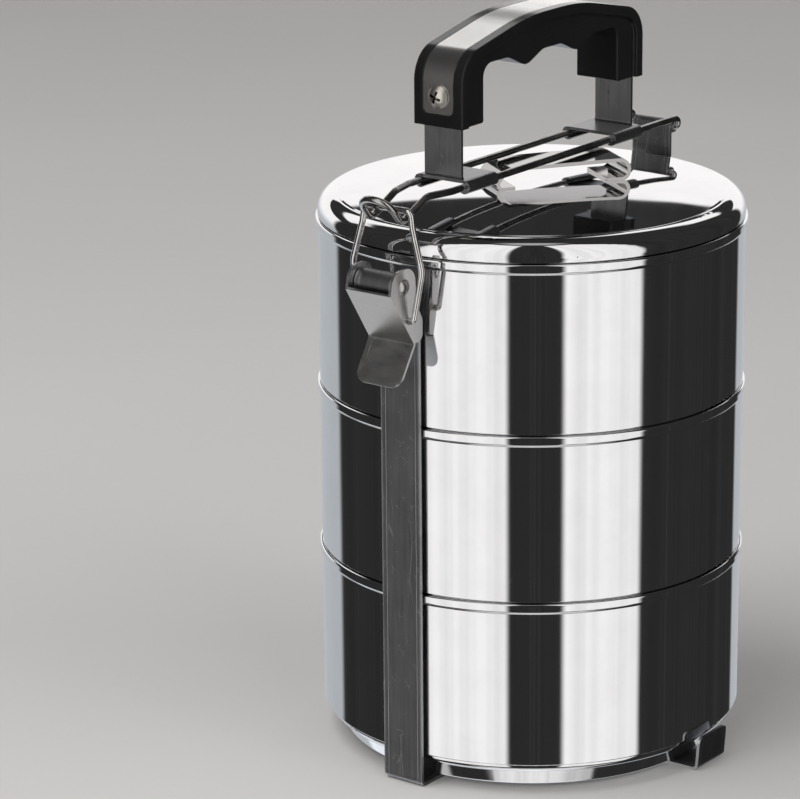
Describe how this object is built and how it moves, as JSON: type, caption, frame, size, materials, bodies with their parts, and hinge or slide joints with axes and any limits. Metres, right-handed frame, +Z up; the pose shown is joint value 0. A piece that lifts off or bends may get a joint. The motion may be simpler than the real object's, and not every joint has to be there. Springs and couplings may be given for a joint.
{
  "type": "tiffin carrier",
  "caption": "Stacked round steel food bowls with a lid, held by a strap cradle and a hinged wire top frame with a toggle latch and a carrying grip.",
  "frame": {"origin": "on the rest plane under the middle of the stacked bowls", "axes": "+Z up the stack; X from the latch (-X) to the frame hinge (+X); Y through both foot tabs"},
  "size_m": [0.1618, 0.1454, 0.2428],
  "materials": {
    "bowl_steel": "mirror-polished stainless steel",
    "lid_steel": "mirror-polished stainless steel",
    "lid_handle_steel": "polished steel strip",
    "strap_steel": "dark worn sheet steel with fine scratches",
    "rivet_steel": "dark steel",
    "lever_steel": "dark plated sheet steel",
    "pin_steel": "dark plated steel",
    "bail_wire": "bright drawn wire",
    "frame_wire": "dark drawn wire",
    "leg_steel": "brushed sheet steel",
    "grip_plastic": "glossy black moulding",
    "trim_steel": "polished steel strip",
    "screw_steel": "nickel-plated"
  },
  "bodies": {
    "cradle": {"base_strap": "strap_steel", "cross_strap": "strap_steel", "rivet_left": "rivet_steel", "rivet_right": "rivet_steel"},
    "bottom_bowl": {"bowl_bottom": "bowl_steel"},
    "middle_bowl": {"bowl_middle": "bowl_steel"},
    "top_bowl": {"bowl_top": "bowl_steel"},
    "lid_unit": {"lid": "lid_steel", "lid_handle": "lid_handle_steel"},
    "latch_lever": {"lever": "lever_steel", "latch_pin": "pin_steel"},
    "latch_bail": {"bail": "bail_wire"},
    "top_frame": {"top_wire": "frame_wire", "handle_leg_left": "leg_steel", "handle_leg_right": "leg_steel", "grip": "grip_plastic", "trim_strip": "trim_steel", "screw_left": "screw_steel", "screw_right": "screw_steel"}
  },
  "joints": [
    {"name": "lever_turn", "type": "hinge", "parent": "cradle", "child": "latch_lever", "pos_m": [-0.0802, 0, 0.1688], "axis": [0, 1, 0], "range_deg": [0, 110]},
    {"name": "bail_swing", "type": "hinge", "parent": "latch_lever", "child": "latch_bail", "pos_m": [-0.0776, 0, 0.1575], "axis": [0, 1, 0], "range_deg": [-75, 0]},
    {"name": "frame_turn", "type": "hinge", "parent": "cradle", "child": "top_frame", "pos_m": [0.07258, 0, 0.191], "axis": [0, 1, 0], "range_deg": [0, 195]},
    {"name": "lid_turn", "type": "hinge", "parent": "cradle", "child": "lid_unit", "pos_m": [0, 0, 0.18], "axis": [0, 0, 1], "continuous": true},
    {"name": "bowl_top_turn", "type": "hinge", "parent": "cradle", "child": "top_bowl", "pos_m": [0, 0, 0.14], "axis": [0, 0, 1], "continuous": true},
    {"name": "bowl_middle_turn", "type": "hinge", "parent": "cradle", "child": "middle_bowl", "pos_m": [0, 0, 0.09], "axis": [0, 0, 1], "continuous": true},
    {"name": "bowl_bottom_turn", "type": "hinge", "parent": "cradle", "child": "bottom_bowl", "pos_m": [0, 0, 0.03], "axis": [0, 0, 1], "continuous": true}
  ],
  "couplings": [
    {"joint": "bail_swing", "follows": "lever_turn", "ratio": -0.67}
  ]
}
